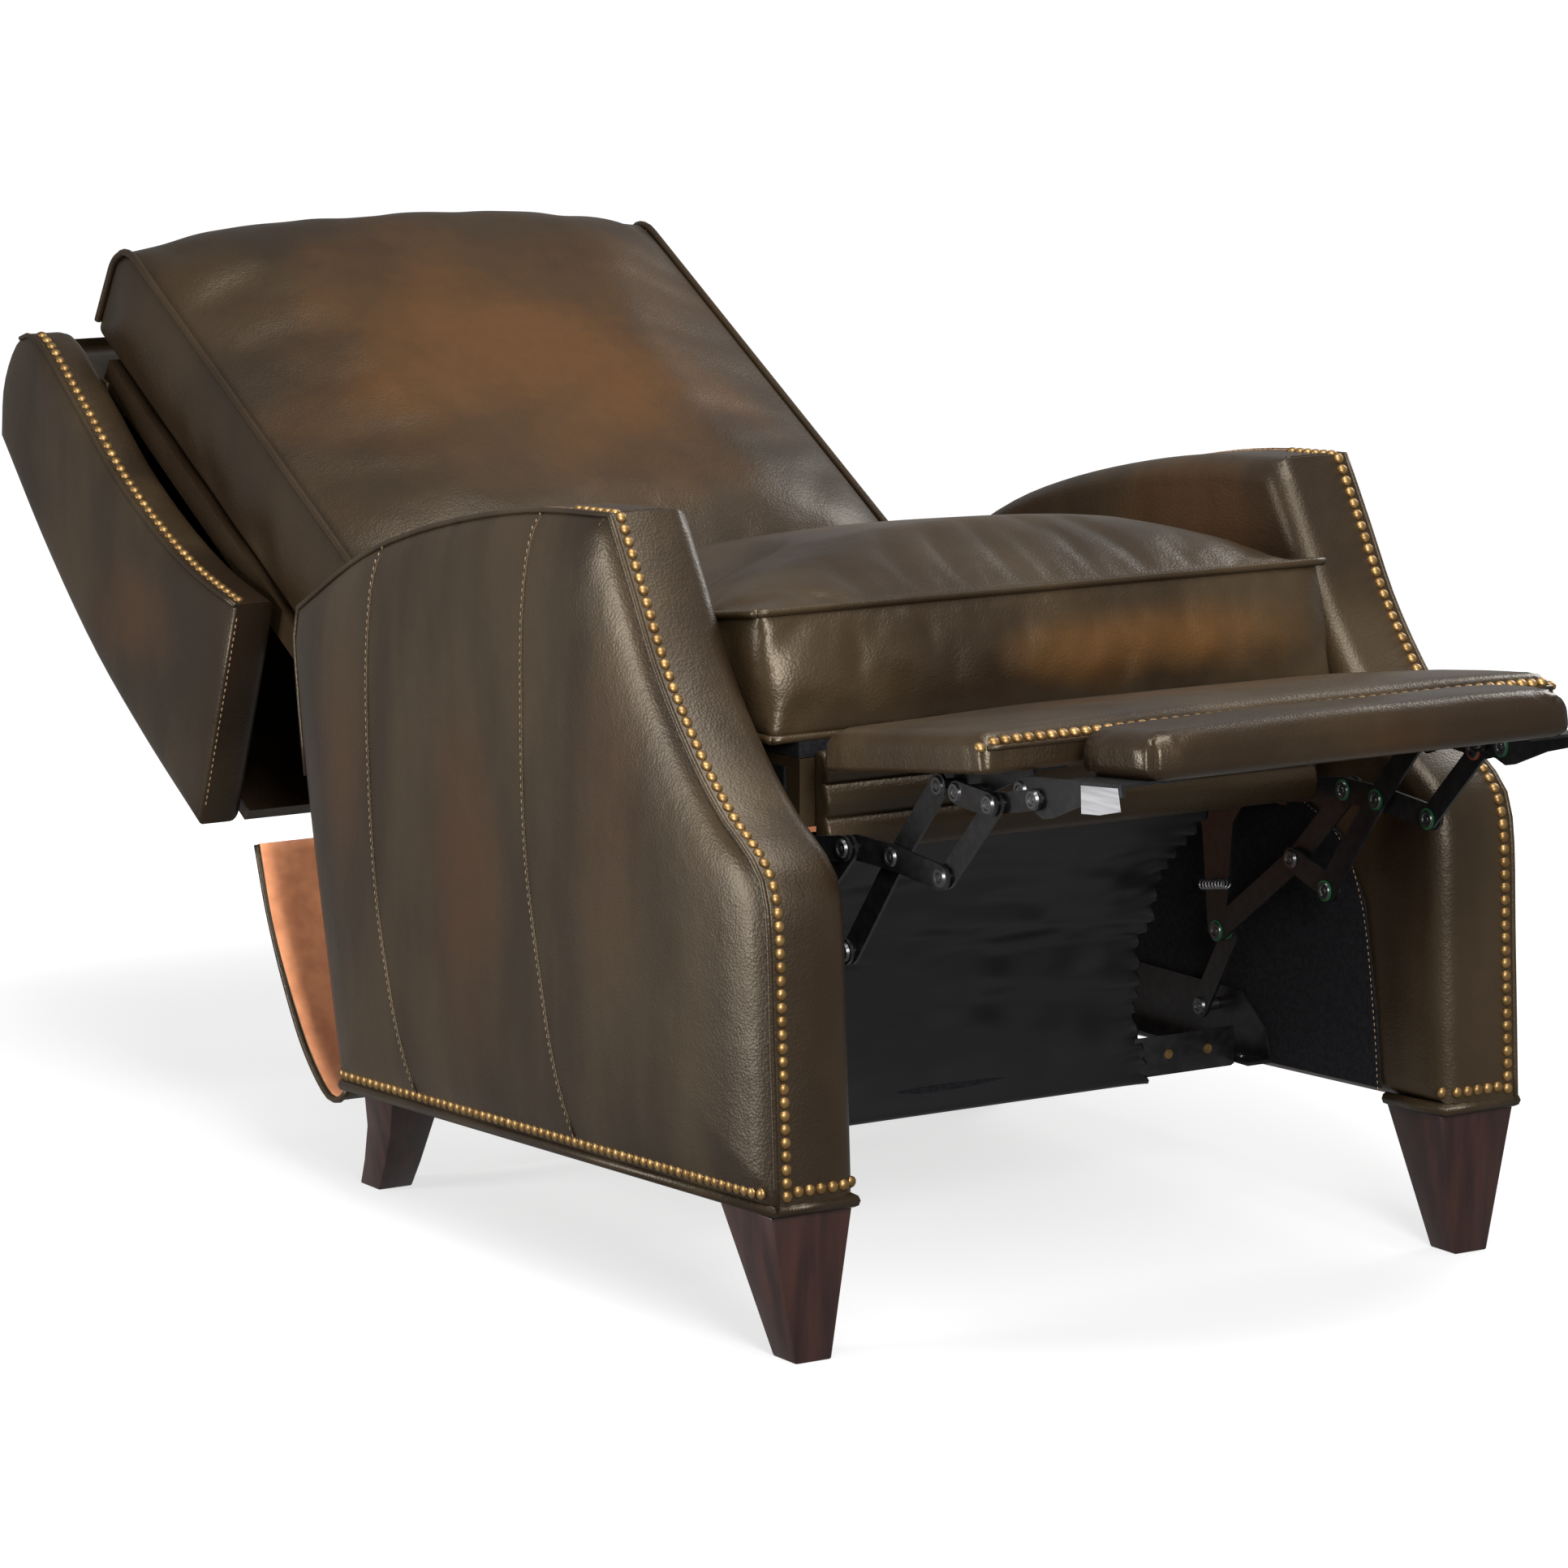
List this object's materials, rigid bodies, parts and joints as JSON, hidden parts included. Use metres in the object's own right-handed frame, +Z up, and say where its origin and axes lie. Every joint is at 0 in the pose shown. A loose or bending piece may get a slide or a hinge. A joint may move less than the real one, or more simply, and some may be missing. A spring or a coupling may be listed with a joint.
{
  "type": "recliner armchair",
  "caption": "Leather recliner armchair with swept arms, winged back, tapered wooden legs, and a linked footrest with a fold-out flap, shown leaning back with the footrest out.",
  "frame": {"origin": "on the floor under the middle of the whole chair's bounding box, as it stands reclined with the footrest out", "axes": "+Z up; -Y the way the sitter faces, towards the footrest; +X to the right of someone who looks at the chair from the front, as in the node names"},
  "size_m": [0.76, 1.692, 0.7966],
  "materials": {
    "brown_leather": "hand-rubbed pebble-grain leather over foam, semi-gloss",
    "brown_leather_pad": "hand-rubbed pebble-grain leather over soft foam, semi-gloss",
    "espresso_wood": "dark espresso satin lacquer",
    "frame_wood": "raw kiln-dried hardwood",
    "black_steel": "black enamel",
    "spring_steel": "oil-tempered spring wire",
    "black_cloth": "black woven satin and bonded cloth"
  },
  "bodies": {
    "base": {"arm_cover_left": "brown_leather", "arm_cover_right": "brown_leather", "arm_frame_left": "frame_wood", "arm_frame_right": "frame_wood", "arm_lining_left": "black_cloth", "arm_lining_right": "black_cloth", "front_leg_left": "espresso_wood", "front_leg_right": "espresso_wood", "rear_leg_left": "espresso_wood", "rear_leg_right": "espresso_wood", "base_rail_left": "black_steel", "base_rail_right": "black_steel", "base_front_rail": "frame_wood", "base_rear_rail": "frame_wood", "rear_skirt": "brown_leather", "dust_cloth": "black_cloth"},
    "front_swing_links": {"front_swing_link_left": "black_steel", "front_swing_link_right": "black_steel"},
    "rear_swing_links": {"rear_swing_link_left": "black_steel", "rear_swing_link_right": "black_steel"},
    "seat": {"seat_frame": "frame_wood", "seat_springs": "spring_steel", "seat_deck": "black_cloth", "seat_cushion": "brown_leather_pad", "seat_front_cover": "brown_leather", "seat_side_plate_left": "black_steel", "seat_side_plate_right": "black_steel"},
    "back": {"back_bracket_left": "black_steel", "back_bracket_right": "black_steel", "back_frame": "frame_wood", "back_cushion": "brown_leather_pad", "back_wing_left": "brown_leather", "back_wing_right": "brown_leather", "back_outer_panel": "brown_leather"},
    "drive_levers": {"drive_lever_left": "black_steel", "drive_lever_right": "black_steel", "torque_tube": "black_steel"},
    "control_bars": {"control_bar_left": "black_steel", "control_bar_right": "black_steel"},
    "tie_links": {"tie_link_left": "black_steel", "tie_link_right": "black_steel"},
    "scissor_links": {"scissor_link_left": "black_steel", "scissor_link_right": "black_steel"},
    "long_links": {"long_link_left": "black_steel", "long_link_right": "black_steel"},
    "riser_links": {"riser_link_left": "black_steel", "riser_link_right": "black_steel"},
    "rocker_links": {"rocker_link_left": "black_steel", "rocker_link_right": "black_steel"},
    "flap_links": {"flap_link_left": "black_steel", "flap_link_right": "black_steel"},
    "footrest": {"footrest_board": "frame_wood", "footrest_pad": "brown_leather_pad", "footrest_bracket_left": "black_steel", "footrest_bracket_right": "black_steel"},
    "footrest_flap": {"flap_board": "frame_wood", "flap_pad": "brown_leather_pad", "flap_plate_left": "black_steel", "flap_plate_right": "black_steel"}
  },
  "joints": [
    {"name": "seat_glide", "type": "slide", "parent": "base", "child": "seat", "axis": [0, 0.9697, 0.2444], "range_m": [0, 0.0517], "deforming": ["dust_cloth"]},
    {"name": "back_recline", "type": "hinge", "parent": "seat", "child": "back", "pos_m": [0, 0.146, 0.3], "axis": [1, 0, 0], "range_deg": [0, 40]},
    {"name": "front_swing", "type": "hinge", "parent": "base", "child": "front_swing_links", "pos_m": [0, -0.269, 0.168], "axis": [1, 0, 0], "range_deg": [-33.54, 0]},
    {"name": "rear_swing", "type": "hinge", "parent": "base", "child": "rear_swing_links", "pos_m": [0, 0.031, 0.168], "axis": [1, 0, 0], "range_deg": [-33.54, 0]},
    {"name": "footrest_extend", "type": "hinge", "parent": "seat", "child": "drive_levers", "pos_m": [0, -0.384, 0.378], "axis": [1, 0, 0], "range_deg": [0, 86]},
    {"name": "control_bar_turn", "type": "hinge", "parent": "drive_levers", "child": "control_bars", "pos_m": [0, -0.499, 0.396], "axis": [1, 0, 0], "range_deg": [-70.06, 0]},
    {"name": "scissor_link_turn", "type": "hinge", "parent": "drive_levers", "child": "scissor_links", "pos_m": [0, -0.499, 0.396], "axis": [1, 0, 0], "range_deg": [0, 36.04]},
    {"name": "tie_link_turn", "type": "hinge", "parent": "control_bars", "child": "tie_links", "pos_m": [0, -0.428, 0.326], "axis": [1, 0, 0], "range_deg": [0, 95.07]},
    {"name": "long_link_turn", "type": "hinge", "parent": "scissor_links", "child": "long_links", "pos_m": [0, -0.551, 0.396], "axis": [1, 0, 0], "range_deg": [-96.07, 0]},
    {"name": "riser_link_turn", "type": "hinge", "parent": "scissor_links", "child": "riser_links", "pos_m": [0, -0.62, 0.39], "axis": [1, 0, 0], "range_deg": [-93.87, 0]},
    {"name": "footrest_turn", "type": "hinge", "parent": "long_links", "child": "footrest", "pos_m": [0, -0.608, 0.461], "axis": [1, 0, 0], "range_deg": [0, 58.05]},
    {"name": "rocker_link_turn", "type": "hinge", "parent": "footrest", "child": "rocker_links", "pos_m": [0, -0.641, 0.461], "axis": [1, 0, 0], "range_deg": [0, 54.05]},
    {"name": "flap_link_turn", "type": "hinge", "parent": "riser_links", "child": "flap_links", "pos_m": [0, -0.686, 0.458], "axis": [1, 0, 0], "range_deg": [-2.92, 0]},
    {"name": "flap_fold", "type": "hinge", "parent": "footrest", "child": "footrest_flap", "pos_m": [0, -0.704, 0.47], "axis": [1, 0, 0], "range_deg": [0, 160.1]}
  ],
  "couplings": [
    {"joint": "seat_glide", "follows": "back_recline", "m_per_rad": 0.07385},
    {"joint": "front_swing", "follows": "back_recline", "ratio": -0.8375},
    {"joint": "rear_swing", "follows": "back_recline", "ratio": -0.8375},
    {"joint": "control_bar_turn", "follows": "footrest_extend", "ratio": -0.81395},
    {"joint": "scissor_link_turn", "follows": "footrest_extend", "ratio": 0.41861},
    {"joint": "tie_link_turn", "follows": "footrest_extend", "ratio": 1.1047},
    {"joint": "long_link_turn", "follows": "footrest_extend", "ratio": -1.1163},
    {"joint": "riser_link_turn", "follows": "footrest_extend", "ratio": -1.0907},
    {"joint": "footrest_turn", "follows": "footrest_extend", "ratio": 0.67442},
    {"joint": "rocker_link_turn", "follows": "footrest_extend", "ratio": 0.62791},
    {"joint": "flap_link_turn", "follows": "footrest_extend", "ratio": -0.033721},
    {"joint": "flap_fold", "follows": "footrest_extend", "ratio": 1.8605}
  ]
}
